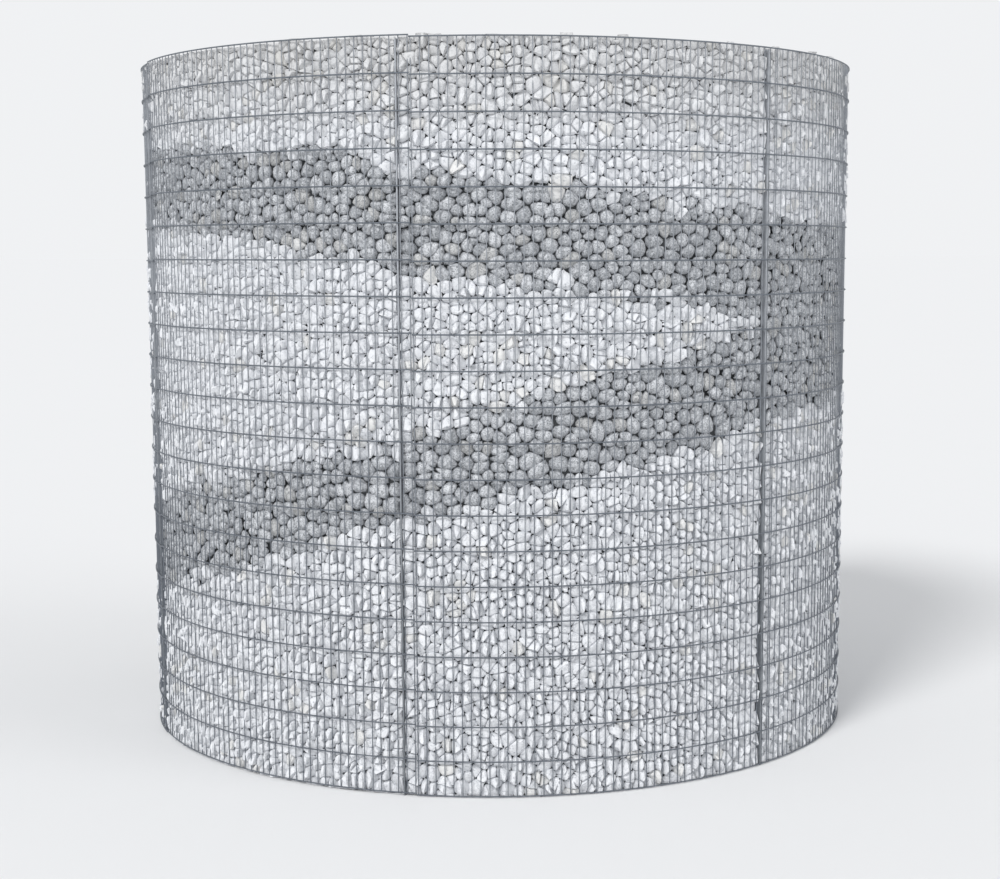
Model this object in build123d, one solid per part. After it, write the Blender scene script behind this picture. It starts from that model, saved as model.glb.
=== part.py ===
from build123d import *
import math
import os

# A round gabion wall: five curved bays of stone held between welded mesh panels.
# The wall stands open at the back. Azimuths are in degrees from the front, positive to
# the right, and the wall's axis is upright through the drawing origin until the end.

# Driving sizes in millimetres and degrees.
mesh_radius = 1145.0      # centre of the outer panels' upright wires
wall_depth = 230.0        # from outer to inner upright wires
bay_angle = 56.5
bay_count = 5
wire = 4.5
weld_bite = 0.5           # how far crossing wires sink into each other
seat_clearance = 0.05     # from stones and posts to the wires in front of them
end_clearance = 0.5       # from an end panel to the curved panels beside it
cell_height = 100.0
cell_rows = 21
foot_gap = 9.0            # from the ground to the lowest row's centre
outer_uprights = 6        # upright bars modelled on each outer panel
outer_rows_per_bar = 3    # one bar stands for so many rows of wire
inner_uprights = 5
inner_rows_per_bar = 7
panel_drop = (6.0, 0.0, 6.0, 0.0, 6.0)  # neighbours differ so that their rows can cross
row_overrun = 2.0         # a row ends this far past its last upright wire
start_lap = 41.5          # a panel's first upright wire, past its post
end_lap = 33.3            # a panel's last upright wire, past the next post
fill_crest = 4.0          # the stones stop this far under the highest row's centre
post_crest = 4.5          # a post stops this far under the stones' top
post_plate = 4.0
post_stile = 30.0
post_rung = 30.0
rung_count = 8

# Borders of the stone layers at the six posts, from the left end to the right, counted
# in rows of cells. The two dark layers run together to the right of the front bay.
lower_dark_base_rows = (2.9, 4.9, 7.8, 10.25, 11.0, 11.65)
lower_dark_crest_rows = (6.0, 7.9, 10.2, 13.15)
upper_dark_base_rows = (17.15, 16.1, 14.8, 13.25)
upper_dark_crest_rows = (18.85, 18.5, 17.55, 16.3, 15.8, 15.2)

# Sizes that follow.
inner_mesh_radius = mesh_radius - wall_depth
fill_outer = mesh_radius - wire / 2 - seat_clearance
fill_inner = inner_mesh_radius + wire / 2 + seat_clearance
post_outer = mesh_radius + wire / 2 - seat_clearance
post_inner = inner_mesh_radius - wire / 2 + seat_clearance
fill_height = foot_gap + cell_rows * cell_height - fill_crest
post_height = fill_height - post_crest
end_cover = post_plate / 2 + 2 * wire
stub = wire / 2 + row_overrun
layer_names = ("light_base", "lower_dark", "light_wedge", "upper_dark", "light_top")
merged_layer_names = ("light_base", "dark_band", "light_top")
stand_up = (Align.CENTER, Align.CENTER, Align.MIN)


def seam_angle(index):
    return (index - bay_count / 2) * bay_angle


def at(radius, azimuth, height):
    turn = math.radians(azimuth)
    return Vector(radius * math.sin(turn), -radius * math.cos(turn), height)


def arc_angle(length, radius):
    return math.degrees(length / radius)


# A curved slab between two radii and two azimuths.
def ring_slab(inner, outer, start, end, height):
    near = CenterArc((0, 0), inner, start - 90, end - start)
    far = CenterArc((0, 0), outer, start - 90, end - start)
    outline = [near, far, Line(near @ 0, far @ 0), Line(near @ 1, far @ 1)]
    return extrude(make_face(outline), amount=height)


def post_blank(height):
    centre = -(post_outer + post_inner) / 2
    blank = Box(post_plate, post_outer - post_inner, height, align=stand_up)
    return Pos(0, centre, 0) * blank


# A post is a flat plate set across the wall, with windows that let the stones lock.
def post():
    plate = post_blank(post_height)
    pitch = (post_height - post_rung) / (rung_count - 1)
    width = post_outer - post_inner - 2 * post_stile
    centre = -(post_outer + post_inner) / 2
    window = Box(3 * post_plate, width, pitch - post_rung)
    for index in range(rung_count - 1):
        plate -= Pos(0, centre, post_rung / 2 + (index + 0.5) * pitch) * window
    return plate


# The stones of one bay stop at the posts that stand on both sides.
def bay_fill(bay):
    start = seam_angle(bay)
    end = seam_angle(bay + 1)
    block = ring_slab(fill_inner, fill_outer, start, end, fill_height)
    for azimuth in (start, end):
        block -= Rot(0, 0, azimuth) * post_blank(fill_height)
    return block


# The plane between two layers slopes along the bay and is level across the wall.
def layer_plane(bay, rows):
    left = at(fill_outer, seam_angle(bay), rows[bay] * cell_height)
    right = at(fill_outer, seam_angle(bay + 1), rows[bay + 1] * cell_height)
    outward = at(1, seam_angle(bay) + bay_angle / 2, 0)
    return Plane(origin=left, x_dir=right - left, z_dir=outward.cross(right - left))


# Each bay is filled in sloping layers of light and dark stone.
def bay_layers(bay):
    borders = (
        lower_dark_base_rows,
        lower_dark_crest_rows,
        upper_dark_base_rows,
        upper_dark_crest_rows,
    )
    names = layer_names
    if bay + 1 >= len(lower_dark_crest_rows):
        borders = (lower_dark_base_rows, upper_dark_crest_rows)
        names = merged_layer_names
    layers = {}
    rest = bay_fill(bay)
    for name, rows in zip(names, borders):
        cut = layer_plane(bay, rows)
        layers[f"bay_{bay + 1}_{name}"] = split(rest, bisect_by=cut, keep=Keep.BOTTOM)
        rest = split(rest, bisect_by=cut, keep=Keep.TOP)
    layers[f"bay_{bay + 1}_{names[-1]}"] = rest
    return layers


def row_heights(drop, rows_per_bar):
    steps = range(0, cell_rows + 1, rows_per_bar)
    return [foot_gap - drop + step * cell_height for step in steps]


# A row of wire seen from above: straight runs, each square to its middle azimuth, that
# meet at the bends.
def row_face(near, middles, bends):
    borders = []
    for apothem in (near, near + wire):
        border = []
        for index, bend in enumerate(bends):
            middle = middles[min(index, len(middles) - 1)]
            reach = apothem / math.cos(math.radians(bend - middle))
            border.append(at(reach, bend, 0))
        borders.append(border)
    return make_face(Polyline(*borders[0], *reversed(borders[1]), close=True))


# Upright wires stand in one layer, and the rows cross them on the side away from the
# stones. Outer rows touch the uprights mid-run, and inner rows touch them at the bends.
def mesh_panel(outer, start, end, drop):
    radius = mesh_radius if outer else inner_mesh_radius
    uprights = outer_uprights if outer else inner_uprights
    rows = row_heights(drop, outer_rows_per_bar if outer else inner_rows_per_bar)
    first = start + arc_angle(stub, radius)
    last = end - arc_angle(stub, radius)
    step = (last - first) / (uprights - 1)
    stations = [first + step * index for index in range(uprights)]
    between = [station + step / 2 for station in stations[:-1]]
    if outer:
        row = row_face(radius + wire / 2, stations, [start, *between, end])
    else:
        near = (radius - wire / 2) * math.cos(math.radians(step / 2)) - wire
        row = row_face(near, between, [start, *stations[1:-1], end])
    bite = 0 if outer else weld_bite
    height = rows[-1] - rows[0] + wire
    upright = Box(wire, wire + bite, height, align=stand_up)
    upright = Pos(0, bite / 2 - radius, rows[0] - wire / 2) * upright
    bars = [Rot(0, 0, station) * upright for station in stations]
    bars += [Pos(0, 0, level - wire / 2) * extrude(row, amount=wire) for level in rows]
    return bars[0].fuse(*bars[1:])


# A panel laps past its posts, and at the wall's two ends it covers the end panel's edge.
def bay_panel(bay, outer):
    radius = mesh_radius if outer else inner_mesh_radius
    start = seam_angle(bay) + arc_angle(start_lap - stub, radius)
    end = seam_angle(bay + 1) + arc_angle(end_lap + stub, radius)
    if bay == 0:
        start = seam_angle(bay) - arc_angle(end_cover, radius)
    if bay == bay_count - 1:
        end = seam_angle(bay + 1) + arc_angle(end_cover, radius)
    return mesh_panel(outer, start, end, panel_drop[bay])


# A narrow flat panel closes each end of the wall, on the open face of its post.
def end_panel(side):
    middle = -(fill_outer + fill_inner) / 2
    width = fill_outer - fill_inner - 2 * end_clearance
    upright_x = side * (post_plate + wire) / 2
    row_x = side * (post_plate + 3 * wire - weld_bite) / 2
    rows = row_heights(panel_drop[0], outer_rows_per_bar)
    upright = Box(wire, wire, rows[-1] - rows[0] + wire, align=stand_up)
    row = Box(wire + weld_bite, width, wire)
    bars = []
    for shift in (-1, 0, 1):
        across = middle + shift * (width - 3 * wire) / 2
        bars.append(Pos(upright_x, across, rows[0] - wire / 2) * upright)
    bars += [Pos(row_x, middle, level) * row for level in rows]
    azimuth = seam_angle(0) if side < 0 else seam_angle(bay_count)
    return Rot(0, 0, azimuth) * bars[0].fuse(*bars[1:])


pieces = {}
for bay in range(bay_count):
    pieces.update(bay_layers(bay))
    pieces[f"outer_mesh_{bay + 1}"] = bay_panel(bay, True)
    pieces[f"inner_mesh_{bay + 1}"] = bay_panel(bay, False)
for index in range(bay_count + 1):
    pieces[f"post_{index + 1}"] = Rot(0, 0, seam_angle(index)) * post()
pieces["left_end_mesh"] = end_panel(-1)
pieces["right_end_mesh"] = end_panel(1)

# The finished wall stands on the ground, centred on its own outline.
boxes = [piece.bounding_box() for piece in pieces.values()]
front = min(box.min.Y for box in boxes)
back = max(box.max.Y for box in boxes)
centring = Pos(0, -(front + back) / 2, 0)
os.makedirs("parts", exist_ok=True)
for name, piece in pieces.items():
    export_step(centring * piece, f"parts/{name}.step")
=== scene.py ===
import math

import bpy
import numpy as np
from mathutils import Matrix, Vector
from mathutils.geometry import delaunay_2d_cdt


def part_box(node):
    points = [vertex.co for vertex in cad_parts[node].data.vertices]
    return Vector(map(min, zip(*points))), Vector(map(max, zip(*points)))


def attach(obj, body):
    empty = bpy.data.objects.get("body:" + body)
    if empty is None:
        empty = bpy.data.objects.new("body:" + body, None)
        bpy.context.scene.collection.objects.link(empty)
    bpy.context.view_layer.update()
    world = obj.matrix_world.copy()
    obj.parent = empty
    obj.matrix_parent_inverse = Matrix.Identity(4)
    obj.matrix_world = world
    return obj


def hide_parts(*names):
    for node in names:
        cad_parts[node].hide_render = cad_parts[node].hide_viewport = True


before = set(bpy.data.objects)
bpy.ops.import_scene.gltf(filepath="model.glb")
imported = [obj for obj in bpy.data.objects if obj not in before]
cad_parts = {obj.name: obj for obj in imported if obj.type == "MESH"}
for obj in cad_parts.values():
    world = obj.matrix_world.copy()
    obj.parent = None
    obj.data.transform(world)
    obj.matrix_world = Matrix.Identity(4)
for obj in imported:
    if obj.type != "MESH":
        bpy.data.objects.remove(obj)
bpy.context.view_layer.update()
rng = np.random.default_rng(41)

# The wall's measures, in metres and degrees. Azimuth 0 is the front, and right is positive.
wall = {
    "bays": 5,
    "bayAngle": 56.5,
    "depth": 0.230,  # outer to inner upright wires
    "wire": 0.0045,
    "postPlate": 0.004,
    "cellWidth": 0.0255,
    "cellHeight": 0.100,
    "cellRows": 21,
    "startLap": 0.0415,  # a panel's first upright, past its post
    "endLap": 0.0333,  # its last upright, past the next post
    "endCover": 0.0110,  # the same at the wall's open ends
    "rowOverrun": 0.0042,
    "footGap": 0.009,  # from the ground to the lowest row's centre
    "drops": (0.0045, 0.0, 0.0045, 0.0045, 0.0),  # how far each panel hangs below that
}
frontLow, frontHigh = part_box("bay_3_light_base")[0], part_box("bay_3_light_top")[1]
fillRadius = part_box("bay_5_light_base")[1].x
fillTop = frontHigh.z
axisY = frontLow.y + fillRadius
innerRadius = fillRadius - wall["depth"] + wall["wire"]
meshRadius = fillRadius + wall["wire"] / 2
innerMeshRadius = innerRadius - wall["wire"] / 2


def seamAt(index):
    return math.radians((index - wall["bays"] / 2) * wall["bayAngle"])


# The azimuth of one of the wall's open ends, and the direction that points out of it.
def openEnd(side):
    seam = seamAt(0 if side < 0 else wall["bays"])
    return seam, side * np.array([math.cos(seam), math.sin(seam), 0])


# Turns azimuths, radii and heights into points of the frame.
def aroundAxis(azimuth, radius, height):
    azimuth, radius, height = np.broadcast_arrays(azimuth, radius, height)
    return np.stack([radius * np.sin(azimuth), axisY - radius * np.cos(azimuth), height], -1)


# Makes one piece from points and faces that all have the same number of sides.
def newPiece(name, points, faces, finish, faceTones=None, joints=None, smooth=True,
             sharpOver=0, finishOf=None):
    mesh = bpy.data.meshes.new(name)
    points = np.asarray(points, np.float32)
    faces = np.asarray(faces, np.int32)
    sides = faces.shape[1]
    mesh.vertices.add(len(points))
    mesh.vertices.foreach_set("co", points.ravel())
    mesh.loops.add(faces.size)
    mesh.loops.foreach_set("vertex_index", faces.ravel())
    mesh.polygons.add(len(faces))
    mesh.polygons.foreach_set("loop_start", np.arange(0, faces.size, sides, dtype=np.int32))
    mesh.update(calc_edges=True)
    mesh.polygons.foreach_set("use_smooth", np.full(len(faces), smooth))
    if faceTones is not None:
        mesh.attributes.new("stoneTone", "FLOAT", "FACE").data.foreach_set(
            "value", np.asarray(faceTones, np.float32))
        mesh.attributes.new("stoneJoint", "FLOAT", "POINT").data.foreach_set(
            "value", np.asarray(joints, np.float32))
    for each in finish if isinstance(finish, tuple) else (finish,):
        mesh.materials.append(each)
    if finishOf is not None:
        mesh.polygons.foreach_set("material_index", np.asarray(finishOf, np.int32))
    mesh.validate()
    if sharpOver:
        mesh.set_sharp_from_angle(angle=math.radians(sharpOver))
    piece = bpy.data.objects.new(name, mesh)
    bpy.context.scene.collection.objects.link(piece)
    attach(piece, "root")
    return piece


# A socket of a material's tree that can be reckoned with.
class Strand:
    def __init__(self, tree, socket=None):
        self.tree, self.socket = tree, socket

    def node(self, kind, settings, sockets, output=0):
        made = self.tree.nodes.new(kind)
        for key, value in settings.items():
            if key == "stops":
                ramp = made.color_ramp
                while len(ramp.elements) < len(value):
                    ramp.elements.new(0.5)
                for element, (place, colour) in zip(ramp.elements, value):
                    element.position, element.color = place, colour
            else:
                setattr(made, key, value)
        for key, value in sockets.items():
            if isinstance(value, Strand):
                self.tree.links.new(value.socket, made.inputs[key])
            else:
                made.inputs[key].default_value = value
        return Strand(self.tree, made.outputs[output] if made.outputs else None)

    def reckon(self, operation, *values):
        sockets = dict(enumerate(values))
        return self.node("ShaderNodeMath", {"operation": operation}, sockets)

    def __add__(self, other):
        return self.reckon("ADD", self, other)

    def __sub__(self, other):
        return self.reckon("SUBTRACT", self, other)

    def __rsub__(self, other):
        return self.reckon("SUBTRACT", other, self)

    def __mul__(self, other):
        return self.reckon("MULTIPLY", self, other)

    def __gt__(self, other):
        return self.reckon("GREATER_THAN", self, other)

    __radd__ = __add__
    __rmul__ = __mul__

    def part(self):
        return self.reckon("FRACT", self)

    def blend(self, low, high):
        return self.node("ShaderNodeMix", {"data_type": "RGBA"}, {0: self, 6: low, 7: high}, 2)

    def ramp(self, *stops):
        return self.node("ShaderNodeValToRGB", {"stops": stops}, {0: self})

    # White up to the first value and black from the last one on, or the other way round.
    def fade(self, first, last, rising=False):
        white, black = (1, 1, 1, 1), (0, 0, 0, 1)
        return self.ramp((first, black if rising else white), (last, white if rising else black))


def newFinish(name):
    finish = bpy.data.materials.new(name)
    finish.use_nodes = True
    tree = finish.node_tree
    tree.nodes.clear()
    return finish, Strand(tree)


def closeFinish(start, **sockets):
    named = {key.replace("_", " "): value for key, value in sockets.items()}
    surface = start.node("ShaderNodeBsdfPrincipled", {}, named)
    start.node("ShaderNodeOutputMaterial", {}, {"Surface": surface})


def placeOf(start):
    return start.node("ShaderNodeTexCoord", {}, {}, "Object")


def heightOf(start, place):
    return start.node("ShaderNodeSeparateXYZ", {}, {"Vector": place}, "Z")


# A value that the mesh holds for each stone or point.
def keptValue(start, name):
    return start.node("ShaderNodeAttribute", {"attribute_name": name}, {}, "Fac")


def grain(start, place, scale, detail=3.0, roughness=0.6):
    sockets = {"Vector": place, "Scale": scale, "Detail": detail, "Roughness": roughness}
    return start.node("ShaderNodeTexNoise", {}, sockets)


def bumpOf(start, strength, distance, height):
    sockets = {"Strength": strength, "Distance": distance, "Height": height}
    return start.node("ShaderNodeBump", {}, sockets)


# Thin lines, where a slow noise passes its middle value.
def veins(start, place, scale):
    offset = grain(start, place, scale, 5.0, 0.55) - 0.5
    return offset.reckon("ABSOLUTE", offset).fade(0.0, 0.018)


# Dust and painted shade darken a stone towards its joints, where it sinks back into the gaps
# between stones.
def dustAndShadeInJoints(start, colour, look, share):
    shade = keptValue(start, "stoneJoint").fade(0.35, 0.90, rising=True)
    return (shade * share).blend(colour, look["joint"])


lightStone = {
    "clouds": (85.0, 4.0, 0.65),  # scale, detail and roughness
    "crumbs": 420.0,
    "pale": (0.91, 0.92, 0.94, 1),
    "grey": (0.70, 0.715, 0.745, 1),
    "paleness": (0.35, 1.8, 0.6, 0.85),  # how much tone, clouds and crumbs add, less the last
    "warm": (0.78, 0.76, 0.71, 1),
    "warmTurns": 37.0,  # spreads the warm stones over all tones
    "warmFrom": 0.95,
    "warmShare": 0.5,
    "vein": (0.36, 0.38, 0.41, 1),
    "veinScale": 26.0,
    "veinShare": 0.45,
    "pits": (0.33, 0.43),  # where the clouds are darkest
    "pitShare": 0.65,
    # dust and painted shade in the joints, and how much of it
    "joint": (0.27, 0.29, 0.32, 1),
    "jointShare": 0.34,
    "jointFullUnder": 0.92,  # up to this height the joints have their whole share
    "jointFaintFrom": 1.24,  # and from here up only the faint share of it
    "jointFaintShare": (0.1, 0.1, 0.1, 1),
    "soil": (0.46, 0.44, 0.40, 1),  # rain carries it onto the topmost stones
    "soilScale": 5.0,
    "soilFrom": 1.82,
    "soilSlope": 2.6,
    "soilMost": 0.40,
    "bump": 0.0040,
}


def lightStoneFinish(look):
    finish, start = newFinish("broken_marble")
    place = placeOf(start)
    tone = keptValue(start, "stoneTone")
    clouds = grain(start, place, *look["clouds"])
    crumbs = grain(start, place, look["crumbs"])
    ofTone, ofClouds, ofCrumbs, less = look["paleness"]
    bright = tone * ofTone + clouds * ofClouds + crumbs * ofCrumbs - less
    colour = bright.blend(look["grey"], look["pale"])
    warmth = ((tone * look["warmTurns"]).part() > look["warmFrom"]) * look["warmShare"]
    colour = warmth.blend(colour, look["warm"])
    colour = (clouds.fade(*look["pits"]) * look["pitShare"]).blend(colour, look["vein"])
    vein = veins(start, place, look["veinScale"]) * look["veinShare"]
    colour = vein.blend(colour, look["vein"])
    height = heightOf(start, place)
    # The joints' dust and painted shade are full low on the wall and fainter higher up. The ramp
    # runs from 0 to 1, and the wall is about two metres high.
    jointFade = (height * 0.5).ramp((look["jointFullUnder"] / 2, (1, 1, 1, 1)),
                               (look["jointFaintFrom"] / 2, look["jointFaintShare"]))
    colour = dustAndShadeInJoints(start, colour, look, jointFade * look["jointShare"])
    drifts = grain(start, place, look["soilScale"])
    soil = (height - look["soilFrom"]) * look["soilSlope"] * drifts
    colour = soil.reckon("MINIMUM", soil, look["soilMost"]).blend(colour, look["soil"])
    bump = bumpOf(start, 0.8, look["bump"], clouds * 0.8 + crumbs * 0.2)
    closeFinish(start, Base_Color=colour, Roughness=0.62 + crumbs * 0.25, Normal=bump)
    return finish


darkStone = {
    "clouds": (105.0, 5.0, 0.75),
    "crumbs": 240.0,
    "pale": (0.765, 0.78, 0.805, 1),
    "grey": (0.325, 0.34, 0.362, 1),
    "paleness": (0.5, 3.2, 1.35),  # how much tone and clouds add, less the last
    "warm": (0.55, 0.535, 0.50, 1),
    "warmTurns": 53.0,
    "warmFrom": 0.90,
    "warmShare": 0.45,
    "deep": (0.10, 0.11, 0.12, 1),
    "spots": (0.53, 0.64),
    "spotShare": 0.7,
    "veinScale": 34.0,
    "veinShare": 0.55,
    "bright": (0.66, 0.67, 0.67, 1),
    "flecks": (0.33, 0.42),
    "fleckShare": 0.4,
    # dust and painted shade in the joints, and how much of it
    "joint": (0.11, 0.12, 0.135, 1),
    "jointShare": 0.70,
    "bump": 0.0030,
}


def darkStoneFinish(look):
    finish, start = newFinish("worn_pebble")
    place = placeOf(start)
    tone = keptValue(start, "stoneTone")
    clouds = grain(start, place, *look["clouds"])
    crumbs = grain(start, place, look["crumbs"])
    ofTone, ofClouds, less = look["paleness"]
    colour = (tone * ofTone + clouds * ofClouds - less).blend(look["grey"], look["pale"])
    warmth = ((tone * look["warmTurns"]).part() > look["warmFrom"]) * look["warmShare"]
    colour = warmth.blend(colour, look["warm"])
    spots = crumbs.fade(*look["spots"], rising=True) * look["spotShare"]
    colour = spots.blend(colour, look["deep"])
    vein = veins(start, place, look["veinScale"]) * look["veinShare"]
    colour = vein.blend(colour, look["deep"])
    colour = (crumbs.fade(*look["flecks"]) * look["fleckShare"]).blend(colour, look["bright"])
    # dust and painted shade towards the joints
    colour = dustAndShadeInJoints(start, colour, look, look["jointShare"])
    bump = bumpOf(start, 0.7, look["bump"], clouds * 0.6 + crumbs * 0.3)
    closeFinish(start, Base_Color=colour, Roughness=0.55 + crumbs * 0.25, Normal=bump)
    return finish


# The deeper stones, seen only between the others: a sheet painted near black as painted shade.
shadedCore = {
    "clouds": 60.0,
    "dark": (0.02, 0.022, 0.025, 1),
    "pale": (0.08, 0.085, 0.09, 1),
    "bump": 0.006,
    "behind": 0.002,  # from the outlines of the stones in front
    "foot": 0.001,
    "seamInset": 0.003,  # radians from a seam between two bays
    "endInset": 0.028,  # and from the wall's open ends
    "steps": 28,
}


def shadedCoreFinish(look):
    finish, start = newFinish("core_in_painted_shade")
    clouds = grain(start, placeOf(start), look["clouds"])
    # painted shade: near-black colours for the stones that lie in the gaps' shadow
    colour = clouds.blend(look["dark"], look["pale"])
    bump = bumpOf(start, 0.8, look["bump"], clouds)
    closeFinish(start, Base_Color=colour, Roughness=0.9 + clouds * 0.05, Normal=bump)
    return finish


# Painted shade: the zinc is painted darker towards the ground.
zinc = {
    "bloom": 70.0,
    "flecks": 900.0,
    "shadeAtFoot": 1.50,
    "shadeFadePerMetre": 1.05,
    "patchy": 0.5,
    "bump": 0.0003,
    "upright": {"bright": (0.41, 0.43, 0.46, 1), "dull": (0.22, 0.235, 0.26, 1),
                "shadedBright": (0.23, 0.25, 0.28, 1), "shadedDull": (0.10, 0.115, 0.14, 1),
                "metal": 0.5},
    # The rows are a darker copy of the uprights' zinc: painted shade for their shaded undersides.
    "row": {"bright": (0.22, 0.24, 0.27, 1), "dull": (0.10, 0.115, 0.135, 1),
            "shadedBright": (0.22, 0.24, 0.27, 1), "shadedDull": (0.09, 0.10, 0.12, 1),
            "metal": 0.5},
    "post": {"bright": (0.50, 0.52, 0.55, 1), "dull": (0.29, 0.305, 0.33, 1),
             "shadedBright": (0.26, 0.28, 0.30, 1), "shadedDull": (0.13, 0.14, 0.155, 1),
             "metal": 0.4},
}


def zincFinish(name, look):
    finish, start = newFinish(name)
    place = placeOf(start)
    bloom = grain(start, place, zinc["bloom"])
    flecks = grain(start, place, zinc["flecks"])
    height = heightOf(start, place)
    cloudy = bloom * 1.3 - 0.15
    unshaded = cloudy.blend(look["dull"], look["bright"])
    shaded = cloudy.blend(look["shadedDull"], look["shadedBright"])
    # painted shade, strongest at the foot and fading upwards
    shading = zinc["shadeAtFoot"] - height * zinc["shadeFadePerMetre"]
    colour = (shading + (bloom - 0.5) * zinc["patchy"]).blend(unshaded, shaded)
    bump = bumpOf(start, 0.25, zinc["bump"], flecks)
    closeFinish(start, Base_Color=colour, Metallic=look["metal"],
                Roughness=0.42 + bloom * 0.25, Normal=bump)
    return finish


finishes = {
    "light": lightStoneFinish(lightStone),
    "dark": darkStoneFinish(darkStone),
    "deep": shadedCoreFinish(shadedCore),
    "upright": zincFinish("zinc_upright_wire", zinc["upright"]),
    "row": zincFinish("zinc_row_wire_in_painted_shade", zinc["row"]),
    "post": zincFinish("zinc_post", zinc["post"]),
}
print("finishes ready")

# Borders of the dark layers as (azimuth in degrees, height in metres), from left to right.
layers = {
    "upperCrest": ((-135, 1.885), (-81, 1.854), (-52, 1.816), (-36, 1.796), (-28, 1.746),
                   (1, 1.692), (27, 1.630), (58, 1.600), (135, 1.520)),
    "upperBase": ((-135, 1.715), (-81, 1.610), (-52, 1.554), (-22, 1.467), (7, 1.394),
                  (27, 1.325)),
    "lowerCrest": ((-135, 0.600), (-81, 0.785), (-53, 0.900), (-28, 0.991), (-17, 1.092),
                   (7, 1.223), (27, 1.310)),
    "lowerBase": ((-135, 0.290), (-81, 0.487), (-56, 0.595), (-28, 0.781), (-6, 0.876),
                  (27, 1.022), (59, 1.069), (135, 1.165)),
    "wedgeEnd": 27,  # the azimuth where the two dark layers run together
    "ragged": 0.014,  # stones lie this far over a border
}


def borderAt(name, degrees):
    knots = np.array(layers[name])
    return np.interp(degrees, knots[:, 0], knots[:, 1])


def isDark(azimuth, height):
    degrees = np.degrees(azimuth)
    inBand = (height > borderAt("lowerBase", degrees)) & (height < borderAt("upperCrest", degrees))
    inWedge = (height > borderAt("lowerCrest", degrees)) & (height < borderAt("upperBase", degrees))
    return inBand & ~(inWedge & (degrees < layers["wedgeEnd"]))


# What holds for all stones. A patch is a stretch of the wall's surface laid out flat, with
# u along it, v up it and w out of it.
stones = {
    "lying": 1.12,  # stones are this much wider than tall
    "jitter": 0.52,  # of the spacing
    "dropped": 0.29,  # share of the seeds left out, so that sizes differ
    "edge": 0.25,  # of the spacing, kept free of seeds at a patch's edges
    "evenings": 1,
    "evenness": 0.5,  # how far each round moves the seeds to the middles of their cells
    "gap": 0.0006,
    "roundings": 2,
    "leastReach": 0.3,  # of the way to its cell's edge, which a stone always fills
    "sunk": 0.0170,  # how deep a stone's outline lies behind its face
    "foot": 0.001,  # the lowest stones stay this far above the ground
    "overTop": 0.016,  # the stones' cells run on this far over the fill's top
    "crown": 0.010,  # how far a few stones at the mesh reach over it
    "crownPower": 7,  # a higher power makes them fewer
    "topRoom": 0.010,  # the topmost stones' middles stay this far under the fill's top
    "postGap": 0.0008,
    "snug": 0.006,  # how far a bay's first stones are cut back to lie snug against its post
}


# Seeds in a jittered triangular grid over a flat patch, with every other row half a step on.
def seedGrid(width, height, spacing):
    rowStep = spacing * 0.866  # the height of a triangle with equal sides
    rows = max(2, round(height / rowStep))
    columns = max(2, round(width / spacing))
    u, v = np.meshgrid((np.arange(columns) + 0.5) / columns, (np.arange(rows) + 0.5) / rows)
    u = u + ((np.arange(rows) % 2) * 0.5 - 0.25)[:, None] / columns
    seeds = np.stack([u.ravel() * width, v.ravel() * height], -1)
    seeds += rng.uniform(-1, 1, seeds.shape) * stones["jitter"] * spacing
    seeds = seeds[rng.random(len(seeds)) > stones["dropped"]]
    edge = spacing * stones["edge"]
    return np.clip(seeds, edge, np.array([width, height]) - edge)


# The cells of the seeds, one (seed numbers, corners) for each number of corners. Seeds near
# an edge are mirrored over it, so that their cells end there.
def cellsOf(seeds, width, height):
    mirrored, tiny = 0.12, 1e-14
    ghosts = [seeds]
    for axis, far in ((0, width), (1, height)):
        for edge in (0, far):
            near = seeds[np.abs(seeds[:, axis] - edge) < mirrored].copy()
            near[:, axis] = 2 * edge - near[:, axis]
            ghosts.append(near)
    spread = np.concatenate(ghosts)
    made = delaunay_2d_cdt([Vector(p) for p in spread.tolist()], [], [], 0, 1e-7)
    origin = np.array([group[0] for group in made[3]])
    corners = np.array([tuple(v) for v in made[0]])
    triangles = np.array(made[2])
    a, b, c = (corners[triangles[:, i]] for i in range(3))
    twice = 2 * (a[:, 0] * (b[:, 1] - c[:, 1]) + b[:, 0] * (c[:, 1] - a[:, 1])
                 + c[:, 0] * (a[:, 1] - b[:, 1]))
    twice = np.where(np.abs(twice) < tiny, tiny, twice)
    squares = [(p ** 2).sum(1) for p in (a, b, c)]
    centreX = (squares[0] * (b[:, 1] - c[:, 1]) + squares[1] * (c[:, 1] - a[:, 1])
               + squares[2] * (a[:, 1] - b[:, 1])) / twice
    centreY = (squares[0] * (c[:, 0] - b[:, 0]) + squares[1] * (a[:, 0] - c[:, 0])
               + squares[2] * (b[:, 0] - a[:, 0])) / twice
    centres = np.stack([centreX, centreY], -1)
    owner = origin[triangles].ravel()
    corner = np.repeat(np.arange(len(triangles)), 3)
    mine = owner < len(seeds)
    owner, corner = owner[mine], corner[mine]
    arm = centres[corner] - seeds[owner]
    order = np.lexsort((np.arctan2(arm[:, 1], arm[:, 0]), owner))
    owner, corner = owner[order], corner[order]
    counts = np.bincount(owner, minlength=len(seeds))
    starts = np.concatenate([[0], np.cumsum(counts)[:-1]])
    cells = []
    for sides in range(3, counts.max() + 1):
        chosen = np.nonzero(counts == sides)[0]
        if len(chosen):
            places = starts[chosen][:, None] + np.arange(sides)
            cells.append((chosen, centres[corner[places]]))
    return cells


def centresOf(polygons):
    following = np.roll(polygons, -1, 1)
    cross = polygons[..., 0] * following[..., 1] - polygons[..., 1] * following[..., 0]
    area = cross.sum(1) / 2
    middle = ((polygons + following) * cross[..., None]).sum(1) / (6 * area[:, None])
    return middle, area


def evenSeeds(seeds, width, height):
    for _ in range(stones["evenings"]):
        moved = seeds.copy()
        for chosen, polygons in cellsOf(seeds, width, height):
            moved[chosen] = centresOf(polygons)[0]
        seeds += (moved - seeds) * stones["evenness"]
    return seeds


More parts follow.
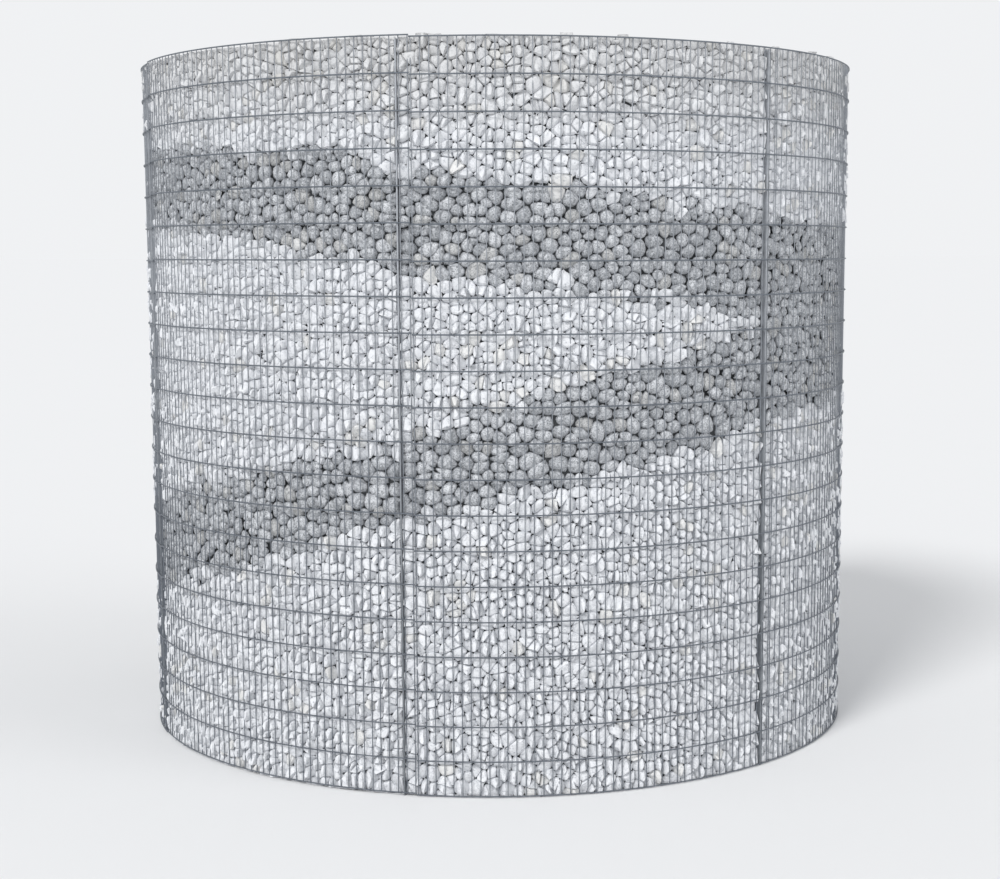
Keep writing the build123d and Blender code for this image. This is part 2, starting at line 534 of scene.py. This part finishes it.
# Triangles that join a stone's rings, given as their numbers of points, and close it.
def ringFaces(rings):
    faces, start = [], 0
    for count, following in zip(rings, rings[1:]):
        after = start + count
        if following == 1:
            return faces + [(start + j, start + (j + 1) % count, after) for j in range(count)]
        for j in range(following):
            near, nextNear = after + j, after + (j + 1) % following
            if count == 2 * following:
                corner, mid = start + 2 * j, start + 2 * j + 1
                nextCorner = start + (2 * j + 2) % count
                faces += [(corner, mid, near), (mid, nextNear, near),
                          (mid, nextCorner, nextNear)]
            else:
                here, there = start + j, start + (j + 1) % count
                faces += [(here, there, nextNear), (here, nextNear, near)]
        start = after
    return faces + [(start, start + j, start + j + 1) for j in range(1, rings[-1] - 1)]


# A stone's outline from its cell: corners and the middles of sides, pulled in and rounded.
def outlineOf(polygons, centre, cornerPull, rounding, spread):
    following = np.roll(polygons, -1, 1)
    out = np.empty((len(polygons), 2 * polygons.shape[1], 2))
    out[:, 0::2] = polygons
    out[:, 1::2] = (polygons + following) / 2
    arms = out - centre[:, None]
    length = np.linalg.norm(arms, axis=-1)
    goal = length.copy()
    goal[:, 0::2] *= cornerPull
    goal[:, 1::2] *= spread
    for _ in range(stones["roundings"]):
        smoother = (np.roll(goal, 1, 1) + goal + np.roll(goal, -1, 1)) / 3
        goal = goal * (1 - rounding) + smoother * rounding
    goal = np.maximum(goal - stones["gap"], length * stones["leastReach"])
    return arms * (goal / np.maximum(length, 1e-6))[..., None]


# Angular chips for the light layers: a sunk outline that runs in under the neighbours, a
# shoulder and a tilted face.
chip = {
    "cornerPull": (0.85, 1.02),
    "rounding": 0.22,
    "spread": 1.14,
    "lift": (-0.0010, 0.0030),  # mean and spread
    "tilt": 0.20,
    "offCentre": 0.14,
    "sunk": (0.75, 0.95),  # of a stone's depth
    "leastSunk": 0.006,
    "shoulder": (0.85, 0.97),  # of the outline, as the faces below
    "shoulderOffset": 0.3,  # of the face's offset
    "shoulderSlope": 0.8,  # of the face's slope
    "drop": (0.0018, 0.0048),  # from the face to the shoulder
    "face": (0.54, 0.80),
    "plainFace": (0.60, 0.84),  # on stones without a shoulder
    "rough": (-0.0010, 0.0005),
}


def chips(polygons, fine):
    count, sides = polygons.shape[:2]
    centre, area = centresOf(polygons)
    size = np.sqrt(area / math.pi)
    pull = rng.uniform(*chip["cornerPull"], (count, sides))
    outline = outlineOf(polygons, centre, pull, chip["rounding"], chip["spread"])
    corners = outline[:, 0::2]
    lift = rng.normal(*chip["lift"], count)
    tilt = rng.normal(0, chip["tilt"], (count, 2))
    offset = rng.uniform(-chip["offCentre"], chip["offCentre"], (count, 2)) * size[:, None]
    sunk = -stones["sunk"] * rng.uniform(*chip["sunk"], (count, 2 * sides))
    rings = [(outline, np.minimum(sunk, lift[:, None] - chip["leastSunk"]))]
    if fine:
        share = rng.uniform(*chip["shoulder"], (count, sides, 1))
        shoulder = corners * share + offset[:, None] * chip["shoulderOffset"]
        slope = (shoulder * tilt[:, None]).sum(-1)
        drop = rng.uniform(*chip["drop"], (count, sides))
        rings.append((shoulder, lift[:, None] + slope * chip["shoulderSlope"] - drop))
    share = rng.uniform(*chip["face" if fine else "plainFace"], (count, sides, 1))
    face = corners * share + offset[:, None]
    slope = (face * tilt[:, None]).sum(-1)
    rings.append((face, lift[:, None] + slope + rng.uniform(*chip["rough"], (count, sides))))
    return centre, rings


# Rounded pebbles for the dark layers, each a dome over its outline.
pebble = {
    "cornerPull": (0.89, 0.99),
    "rounding": 0.55,
    "spread": 1.11,
    "lift": (-0.0016, 0.0028),
    "belly": (0.70, 0.95),  # of a stone's size
    "flank": 0.98,  # how far down the dome reaches, where 1 is upright at its edge
    "tilt": 0.10,
    "rings": (1.0, 0.88, 0.58),  # of the outline
    "plainRings": (1.0, 0.66),
    "cornersOnly": 0.7,  # rings smaller than this have no points between their corners
}


def pebbles(polygons, fine):
    count, sides = polygons.shape[:2]
    centre, area = centresOf(polygons)
    size = np.sqrt(area / math.pi)
    pull = rng.uniform(*pebble["cornerPull"], (count, sides))
    outline = outlineOf(polygons, centre, pull, pebble["rounding"], pebble["spread"])
    lift = rng.normal(*pebble["lift"], count)[:, None]
    belly = (size * rng.uniform(*pebble["belly"], count))[:, None]
    tilt = rng.normal(0, pebble["tilt"], (count, 2))
    rings = []
    for share in pebble["rings" if fine else "plainRings"]:
        ring = outline * share if share > pebble["cornersOnly"] else outline[:, 0::2] * share
        height = lift - belly * (1 - math.sqrt(1 - (share * pebble["flank"]) ** 2))
        rings.append((ring, height + (ring * tilt[:, None]).sum(-1)))
    rings.append((np.zeros((count, 1, 2)), lift.copy()))
    return centre, rings


# The two kinds of stone. A stone has a joint value for each ring from the outline inwards,
# and gives way to the wires by its share of what it would reach over them.
kinds = {
    "light": {"make": chips, "spacing": 0.0298, "joints": (1.0, 0.15, 0.0),
              "givesWay": 0.92, "sharpOver": 38},
    "dark": {"make": pebbles, "spacing": 0.0350, "joints": (1.0, 0.50, 0.0, 0.0),
             "givesWay": 1.0, "sharpOver": 0},
}

# How far a stone's face may come forward: hardly at the wires, more between them.
swell = {
    "atWire": -0.0004,
    "between": 0.0180,  # added midway between two uprights
    "wireHalf": 0.0030,
    "atPost": 0.0025,
    "postSlope": 0.6,
    "atRow": 0.0035,
    "clearOfRow": 0.0145,  # added where the row no longer holds the stones back
    "rowHalf": 0.0040,
    "rowReach": 0.0200,
}


def fromPosts(patch, u):
    return np.minimum(u - patch.get("snug", 0), patch["width"] - u)


def swellLimit(patch, u, v):
    if "uprights" not in patch:
        return np.full(u.shape, patch["limit"])
    uprights = patch["uprights"]
    near = np.searchsorted(uprights, u).clip(1, len(uprights) - 1)
    apart = np.minimum(np.abs(u - uprights[near - 1]), np.abs(u - uprights[near]))
    room = np.clip((apart - swell["wireHalf"]) / (wall["cellWidth"] / 2), 0, 1)
    free = swell["atWire"] + swell["between"] * np.sqrt(room)
    free = np.minimum(free, swell["atPost"] + swell["postSlope"] * fromPosts(patch, u))
    rowAt = (v - patch["lowestRow"]) / wall["cellHeight"]
    apart = np.abs(rowAt - np.round(rowAt)) * wall["cellHeight"]
    room = np.clip((apart - swell["rowHalf"]) / swell["rowReach"], 0, 1)
    return np.minimum(free, swell["atRow"] + swell["clearOfRow"] * np.sqrt(room))


# Some light stones push a nose out between two upright wires.
noses = {
    "share": 0.55,  # of the lowest stones
    "heights": (0, 1.0, 2.0),
    "left": (1.0, 0.7, 0.2),  # what is left of that share at these heights
    "cell": 0.020,  # only where the uprights stand further apart than this
    "fromPost": 0.034,
    "reach": (0.0050, 0.0160),
    "shoulderReach": 0.60,  # of the face's reach
    "shoulderHalf": 0.0088,  # half widths that fit between the wires
    "faceHalf": 0.0074,
    "flatten": 0.35,
}


def pushNoses(patch, centre, rings):
    uprights = patch["uprights"]
    height = centre[:, 1] / stones["lying"]
    share = noses["share"] * np.interp(height, noses["heights"], noses["left"])
    near = np.searchsorted(uprights, centre[:, 0]).clip(1, len(uprights) - 1)
    wide = uprights[near] - uprights[near - 1] > noses["cell"]
    clear = fromPosts(patch, centre[:, 0]) > noses["fromPost"]
    bold = (rng.random(len(centre)) < share) & wide & clear
    middle = ((uprights[near - 1] + uprights[near]) / 2 - centre[:, 0])[:, None]
    reach = rng.uniform(*noses["reach"], len(centre))
    pushed = [rings[0]]
    for number, (ring, w) in enumerate(rings[1:], 2):
        isFace = number == len(rings)
        room = noses["faceHalf" if isFace else "shoulderHalf"]
        out = reach if isFace else reach * noses["shoulderReach"]
        ring, w = ring.copy(), w.copy()
        half = np.abs(ring[..., 0] - middle).max(1)
        squeeze = np.minimum(1, room / np.maximum(half, 1e-6))[:, None]
        ring[bold, :, 0] = (middle + (ring[..., 0] - middle) * squeeze)[bold]
        w[bold] = (w * noses["flatten"] + out[:, None])[bold]
        pushed.append((ring, w))
    return pushed


# Fills a patch with stones and puts them into the basket as (points, faces, joint values).
def growStones(patch, basket):
    lying = stones["lying"]
    atMesh = "uprights" in patch
    width, height = patch["width"], patch["height"] * lying
    seeds = []
    for kind, build in kinds.items():
        grid = seedGrid(width, height, build["spacing"])
        azimuth, level = patch["where"](grid / (1, lying))
        level = level + rng.normal(0, layers["ragged"], len(grid))
        seeds.append(grid[isDark(azimuth, level) == (kind == "dark")])
    darkFrom = len(seeds[0])
    highest = (fillTop - stones["topRoom"]) * lying if atMesh else height
    seeds = np.concatenate(seeds)
    seeds[:, 1] = np.minimum(seeds[:, 1], highest)
    seeds = evenSeeds(seeds, width, height)
    seeds[:, 1] = np.minimum(seeds[:, 1], highest)
    near = (patch.get("snug", 0), stones["foot"])
    for chosen, polygons in cellsOf(seeds, width, height):
        for kind, build in kinds.items():
            mine = (chosen >= darkFrom) == (kind == "dark")
            if not mine.any():
                continue
            centre, rings = build["make"](polygons[mine], patch["fine"])
            if kind == "light" and atMesh:
                rings = pushNoses(patch, centre, rings)
            far = np.full((len(centre), 1, 2), (width, height))
            if atMesh:
                crown = stones["crown"] * rng.random(len(centre)) ** stones["crownPower"]
                far[:, 0, 1] = (fillTop + crown) * lying
            flats = [np.clip(ring + centre[:, None], near, far) for ring, _ in rings]
            limits = [swellLimit(patch, flat[..., 0], flat[..., 1] / lying) for flat in flats]
            over = [(w - limit).max(1) for (_, w), limit in zip(rings[1:], limits[1:])]
            back = np.maximum(0, np.max(over, 0))[:, None] * build["givesWay"]
            points, joints = [], []
            for number, (flat, limit, (_, w)) in enumerate(zip(flats, limits, rings)):
                w = np.minimum(w - back if number else w, limit)
                points.append(patch["place"](flat[..., 0], flat[..., 1] / lying, w))
                joints += [build["joints"][number]] * flat.shape[1]
            faces = ringFaces([flat.shape[1] for flat in flats])
            basket[kind].append((np.concatenate(points, 1), np.array(faces), np.array(joints)))


def postGap():
    return wall["postPlate"] / 2 + stones["postGap"]


def outerPatch(bay):
    gap = postGap() - stones["snug"]
    start = seamAt(bay)
    span = math.radians(wall["bayAngle"]) * fillRadius
    uprights = uprightsOver(bay, meshRadius)
    return {
        "width": span - gap - postGap(), "height": fillTop + stones["overTop"], "fine": True,
        "snug": stones["snug"],
        "lowestRow": wall["footGap"] - wall["drops"][bay],
        "uprights": (uprights - start) * fillRadius - gap,
        "where": lambda flat: (start + (flat[:, 0] + gap) / fillRadius, flat[:, 1]),
        "place": lambda u, v, w: aroundAxis(start + (u + gap) / fillRadius, fillRadius + w, v),
    }


def innerPatch(bay):
    gap = postGap()
    end = seamAt(bay + 1)
    span = math.radians(wall["bayAngle"]) * innerRadius
    uprights = uprightsOver(bay, innerMeshRadius)
    return {
        "width": span - 2 * gap, "height": fillTop + stones["overTop"], "fine": False,
        "lowestRow": wall["footGap"] - wall["drops"][bay],
        "uprights": ((end - uprights) * innerRadius - gap)[::-1],
        "where": lambda flat: (end - (flat[:, 0] + gap) / innerRadius, flat[:, 1]),
        "place": lambda u, v, w: aroundAxis(end - (u + gap) / innerRadius, innerRadius - w, v),
    }


topStones = {
    "inset": 0.008,  # the stones at the mesh reach this far in
    "rise": 0.002,
    "limit": 0.0025,
}


def topPatch(bay):
    gap, inset = postGap(), topStones["inset"]
    start = seamAt(bay)
    middle = (fillRadius + innerRadius) / 2
    span = math.radians(wall["bayAngle"]) * middle
    return {
        "width": span - 2 * gap, "height": fillRadius - innerRadius - 2 * inset, "fine": True,
        "limit": topStones["limit"],
        "where": lambda flat: (start + (flat[:, 0] + gap) / middle,
                               np.full(len(flat), fillTop)),
        "place": lambda u, v, w: aroundAxis(start + (u + gap) / middle, fillRadius - inset - v,
                                            fillTop + topStones["rise"] + w),
    }


# These stones stay behind the end post and show in its windows.
endStones = {
    "behind": 0.0015,
    "limit": 0.0010,
}


def endPatch(side):
    seam, outward = openEnd(side)
    behind = wall["postPlate"] / 2 + endStones["behind"]

    def place(u, v, w):
        radius = innerRadius + u if side < 0 else fillRadius - u
        return aroundAxis(seam, radius, v) + (w[..., None] - behind) * outward

    return {
        "width": fillRadius - innerRadius, "height": fillTop, "fine": True,
        "limit": endStones["limit"],
        "where": lambda flat: (np.full(len(flat), seam), flat[:, 1]),
        "place": place,
    }


# Azimuths of a panel's upright wires, and how far its rows run on past them.
def panelUprights(bay, radius):
    start = seamAt(bay) + wall["startLap"] / radius
    end = seamAt(bay + 1) + wall["endLap"] / radius
    if bay == 0:
        start = seamAt(bay) - (wall["endCover"] - wall["rowOverrun"]) / radius
    if bay == wall["bays"] - 1:
        end = seamAt(bay + 1) + (wall["endCover"] - wall["rowOverrun"]) / radius
    cells = round((end - start) * radius / wall["cellWidth"])
    return np.linspace(start, end, cells + 1), wall["rowOverrun"] / radius


# The uprights over a bay: its own panel's, and those that lap in from the panel before.
def uprightsOver(bay, radius):
    own = panelUprights(bay, radius)[0]
    before = panelUprights(bay - 1, radius)[0] if bay else own[:0]
    return np.sort(np.concatenate([before, own]))


# One piece for each bay and kind of stone.
def stonePieces():
    for bay in range(wall["bays"]):
        basket = {"light": [], "dark": []}
        growStones(outerPatch(bay), basket)
        growStones(innerPatch(bay), basket)
        growStones(topPatch(bay), basket)
        if bay == 0:
            growStones(endPatch(-1), basket)
        if bay == wall["bays"] - 1:
            growStones(endPatch(1), basket)
        for kind, batches in basket.items():
            points, faces, tones, joints, start = [], [], [], [], 0
            for batch, template, joint in batches:
                count, size = batch.shape[:2]
                shift = start + np.arange(count) * size
                faces.append((template[None] + shift[:, None, None]).reshape(-1, 3))
                tones.append(np.repeat(rng.random(count), len(template)))
                joints.append(np.tile(joint, count))
                points.append(batch.reshape(-1, 3))
                start += count * size
            name = f"{kind}_stones_{bay + 1}"
            piece = newPiece(name, np.concatenate(points), np.concatenate(faces),
                             finishes[kind], np.concatenate(tones),
                             np.concatenate(joints), sharpOver=kinds[kind]["sharpOver"])
            replaced = [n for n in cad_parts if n.startswith(f"bay_{bay + 1}_") and kind in n]
            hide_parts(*replaced)
            print(name, len(piece.data.polygons), "triangles")


def shadedCorePieces():
    sunk = stones["sunk"] + shadedCore["behind"]
    steps, foot = shadedCore["steps"], shadedCore["foot"]
    for bay in range(wall["bays"]):
        isFirst, isLast = bay == 0, bay == wall["bays"] - 1
        start = seamAt(bay) + shadedCore["endInset" if isFirst else "seamInset"]
        end = seamAt(bay + 1) - shadedCore["endInset" if isLast else "seamInset"]
        azimuth = np.linspace(start, end, steps + 1)
        profile = ((fillRadius - sunk, foot), (fillRadius - sunk, fillTop - sunk),
                   (innerRadius + sunk, fillTop - sunk), (innerRadius + sunk, foot))
        points = np.stack([aroundAxis(azimuth, r, z) for r, z in profile], 1).reshape(-1, 3)
        faces = []
        for i in range(steps):
            for j in range(4):
                a, b = i * 4 + j, i * 4 + (j + 1) % 4
                faces.append((a, a + 4, b + 4, b))
        faces += [(0, 1, 2, 3), (steps * 4 + 3, steps * 4 + 2, steps * 4 + 1, steps * 4)]
        newPiece(f"core_in_painted_shade_{bay + 1}", points, faces, finishes["deep"],
                 smooth=False)


wires = {
    "upright": 0.0030,
    "row": 0.0042,
    "rowSeat": 0.94,  # of a wire, from the uprights' middles to the row's
    "rowSteps": 24,
    "sharpOver": 50,
    "endUprights": 10,
    "endInset": 0.0005,  # between an end panel's outer uprights and the fill's edges
    "endRowInset": 0.001,
}


# A wire's six-sided section, as places across and along.
def sectionOf(width):
    angle = (np.arange(6) + 0.5) * 2 * math.pi / 6
    return width / 2 * np.cos(angle), width / 2 * np.sin(angle)


# Heights of a panel's rows, and of both ends of its uprights.
def levelsFrom(lowest):
    levels = lowest + np.arange(wall["cellRows"] + 1) * wall["cellHeight"]
    half = wires["upright"] / 2
    return levels, np.array([levels[0] - half, levels[-1] + half])


# Joins the sections of many wires into side faces.
def sweep(ringPoints):
    lines, steps, sides = ringPoints.shape[:3]
    index = np.arange(lines * steps * sides).reshape(lines, steps, sides)
    here, there = index[:, :-1], index[:, 1:]
    quads = np.stack([here, np.roll(here, -1, 2), np.roll(there, -1, 2), there], -1)
    return ringPoints.reshape(-1, 3), quads.reshape(-1, 4), index


# Makes one piece of a panel's uprights and rows, with closed wire ends.
def wirePiece(name, node, uprights, rows):
    points, faces, finishOf, start = [], [], [], 0
    for number, ringPoints in enumerate((uprights, rows)):
        flat, quads, index = sweep(ringPoints)
        made = [quads]
        for ring in (index[:, 0], index[:, -1][:, ::-1]):
            made += [ring[:, [0, 1, 2, 3]], ring[:, [0, 3, 4, 5]]]
        made = np.concatenate(made)
        points.append(flat)
        faces.append(made + start)
        finishOf.append(np.full(len(made), number))
        start += len(flat)
    piece = newPiece(name, np.concatenate(points), np.concatenate(faces),
                     (finishes["upright"], finishes["row"]),
                     sharpOver=wires["sharpOver"], finishOf=np.concatenate(finishOf))
    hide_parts(node)


def meshPanel(bay, outer):
    where, radius, side = ("outer", meshRadius, 1) if outer else ("inner", innerMeshRadius, -1)
    levels, ends = levelsFrom(wall["footGap"] - wall["drops"][bay])
    azimuths, overrun = panelUprights(bay, radius)
    across, along = sectionOf(wires["upright"])
    uprights = aroundAxis(azimuths[:, None, None] + across / radius, radius + along,
                          ends[None, :, None])
    across, along = sectionOf(wires["row"])
    rowAzimuth = np.linspace(azimuths[0] - overrun, azimuths[-1] + overrun, wires["rowSteps"] + 1)
    rowRadius = radius + side * wall["wire"] * wires["rowSeat"] + across
    rows = aroundAxis(rowAzimuth[None, :, None], rowRadius, levels[:, None, None] + along)
    wirePiece(f"{where}_wires_{bay + 1}", f"{where}_mesh_{bay + 1}", uprights, rows)


def endPanel(side):
    where = "left" if side < 0 else "right"
    node = f"{where}_end_mesh"
    seam, outward = openEnd(side)
    levels, ends = levelsFrom(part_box(node)[0].z + wall["wire"] / 2)
    inset = wall["wire"] / 2 + wires["endInset"]
    radii = np.linspace(innerRadius + inset, fillRadius - inset, wires["endUprights"])
    layer = wall["postPlate"] / 2 + wall["wire"] / 2
    across, along = sectionOf(wires["upright"])
    uprights = aroundAxis(seam, radii[:, None, None] + across, ends[None, :, None])
    uprights = uprights + (layer + along)[:, None] * outward
    across, along = sectionOf(wires["row"])
    rowRadius = np.array([innerRadius + wires["endRowInset"], fillRadius - wires["endRowInset"]])
    rows = aroundAxis(seam, rowRadius[None, :, None], levels[:, None, None] + along)
    rows = rows + (layer + wall["wire"] * wires["rowSeat"] + across)[:, None] * outward
    wirePiece(f"{where}_end_wires", node, uprights, rows)


stonePieces()
shadedCorePieces()
print("deep stones ready")
for bay in range(wall["bays"]):
    meshPanel(bay, True)
    meshPanel(bay, False)
endPanel(-1)
endPanel(1)
for index in range(wall["bays"] + 1):
    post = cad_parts[f"post_{index + 1}"]
    post.data.materials.clear()
    post.data.materials.append(finishes["post"])
print("wires and posts ready")

# Each sun lamp has a power, and in degrees a spread, an azimuth and a height above the
# horizon. Both spreads are wide, for soft shadows.
studio = {
    "floor": (0.82, 0.82, 0.82),
    "floorReach": 400.0,
    "mottleScale": 0.6,
    "mottle": 0.985,  # how bright the floor's darkest patches are, against the rest
    "air": (0.95, 0.97, 1.0),
    "sky": 0.66,
    "suns": {"key_sun": (1.70, 16.0, -45.0, 43.0), "fill_sun": (0.57, 34.0, 50.0, 22.0)},
}


# The backdrop has the brightness of the far floor, so that no horizon shows.
def backdropColour():
    lit = sum(power * math.sin(math.radians(rise)) / math.pi
              for power, _, _, rise in studio["suns"].values())
    return tuple(paint * (air * studio["sky"] + lit)
                 for paint, air in zip(studio["floor"], studio["air"])) + (1,)


def studioFloor():
    finish, start = newFinish("studio_floor")
    mottle = grain(start, placeOf(start), studio["mottleScale"])
    paint = studio["floor"] + (1,)
    darker = tuple(studio["mottle"] * value for value in paint)
    colour = (mottle * 0.5).blend(paint, darker)
    closeFinish(start, Base_Color=colour, Roughness=1.0, Specular_IOR_Level=0.0)
    mesh = bpy.data.meshes.new("studio_floor")
    reach = studio["floorReach"]
    corners = [(-reach, -reach, 0), (reach, -reach, 0), (reach, reach, 0), (-reach, reach, 0)]
    mesh.from_pydata(corners, [], [(0, 1, 2, 3)])
    mesh.materials.append(finish)
    floor = bpy.data.objects.new("studio_floor", mesh)
    bpy.context.scene.collection.objects.link(floor)


# The camera and mirror-like surfaces see the backdrop, and all else is lit by the air.
def studioAir():
    world = bpy.data.worlds.new("studio_air")
    world.use_nodes = True
    tree = world.node_tree
    tree.nodes.clear()
    start = Strand(tree)
    camera, glossy, through = (
        start.node("ShaderNodeLightPath", {}, {}, output)
        for output in ("Is Camera Ray", "Is Glossy Ray", "Is Transmission Ray"))
    seen = start.reckon("MAXIMUM", camera, start.reckon("MAXIMUM", glossy, through))
    air = start.node("ShaderNodeBackground", {},
                     {"Color": studio["air"] + (1,), "Strength": studio["sky"]})
    backdrop = start.node("ShaderNodeBackground", {},
                          {"Color": backdropColour(), "Strength": 1.0})
    both = start.node("ShaderNodeMixShader", {}, {0: seen, 1: air, 2: backdrop})
    start.node("ShaderNodeOutputWorld", {}, {"Surface": both})
    bpy.context.scene.world = world


def softSun(name, power, spread, azimuth, rise):
    lamp = bpy.data.lights.new(name, "SUN")
    lamp.energy = power
    lamp.angle = math.radians(spread)
    turn, rise = math.radians(azimuth), math.radians(rise)
    towards = Vector((math.sin(turn) * math.cos(rise), -math.cos(turn) * math.cos(rise),
                      math.sin(rise)))
    holder = bpy.data.objects.new(name, lamp)
    bpy.context.scene.collection.objects.link(holder)
    holder.rotation_euler = (-towards).to_track_quat("-Z", "Y").to_euler()


# The photograph's viewpoint, found from the mesh rows and the wall's outlines.
viewpoint = {
    "azimuth": -14.47,  # degrees round the wall's axis
    "distance": 6.0589,
    "height": 1.5325,
    "pitch": 0.1275,  # radians, as the next two
    "yaw": 0.0206,
    "roll": -0.0031,
    "sensorWidth": 36.0,
    "focalPixels": 1794.4,
    "imageWidth": 1000,
    "imageHeight": 879,
    "axisPixel": (535.59, 480.66),  # where the lens axis meets the picture
}


def photoCamera():
    turn = math.radians(viewpoint["azimuth"])
    outward = Vector((math.sin(turn), -math.cos(turn), 0))
    ahead = Matrix.Rotation(-viewpoint["yaw"], 3, "Z") @ -outward
    right = ahead.cross(Vector((0, 0, 1)))
    pitch, roll = viewpoint["pitch"], viewpoint["roll"]
    forward = ahead * math.cos(pitch) - Vector((0, 0, math.sin(pitch)))
    up = right.cross(forward)
    rolledRight = right * math.cos(roll) + up * math.sin(roll)
    rolledUp = up * math.cos(roll) - right * math.sin(roll)
    lens = bpy.data.cameras.new("photo_camera")
    lens.sensor_width = viewpoint["sensorWidth"]
    lens.sensor_fit = "HORIZONTAL"
    lens.lens = viewpoint["focalPixels"] / viewpoint["imageWidth"] * lens.sensor_width
    pixelX, pixelY = viewpoint["axisPixel"]
    lens.shift_x = 0.5 - pixelX / viewpoint["imageWidth"]
    lens.shift_y = (pixelY - viewpoint["imageHeight"] / 2) / viewpoint["imageWidth"]
    camera = bpy.data.objects.new("photo_camera", lens)
    bpy.context.scene.collection.objects.link(camera)
    turned = Matrix((rolledRight, rolledUp, -forward)).transposed().to_4x4()
    place = Vector((0, axisY, viewpoint["height"])) + outward * viewpoint["distance"]
    camera.matrix_world = Matrix.Translation(place) @ turned
    bpy.context.scene.camera = camera


studioFloor()
studioAir()
for name, values in studio["suns"].items():
    softSun(name, *values)
photoCamera()
bpy.context.scene.view_settings.view_transform = "Standard"
print("studio and camera ready")
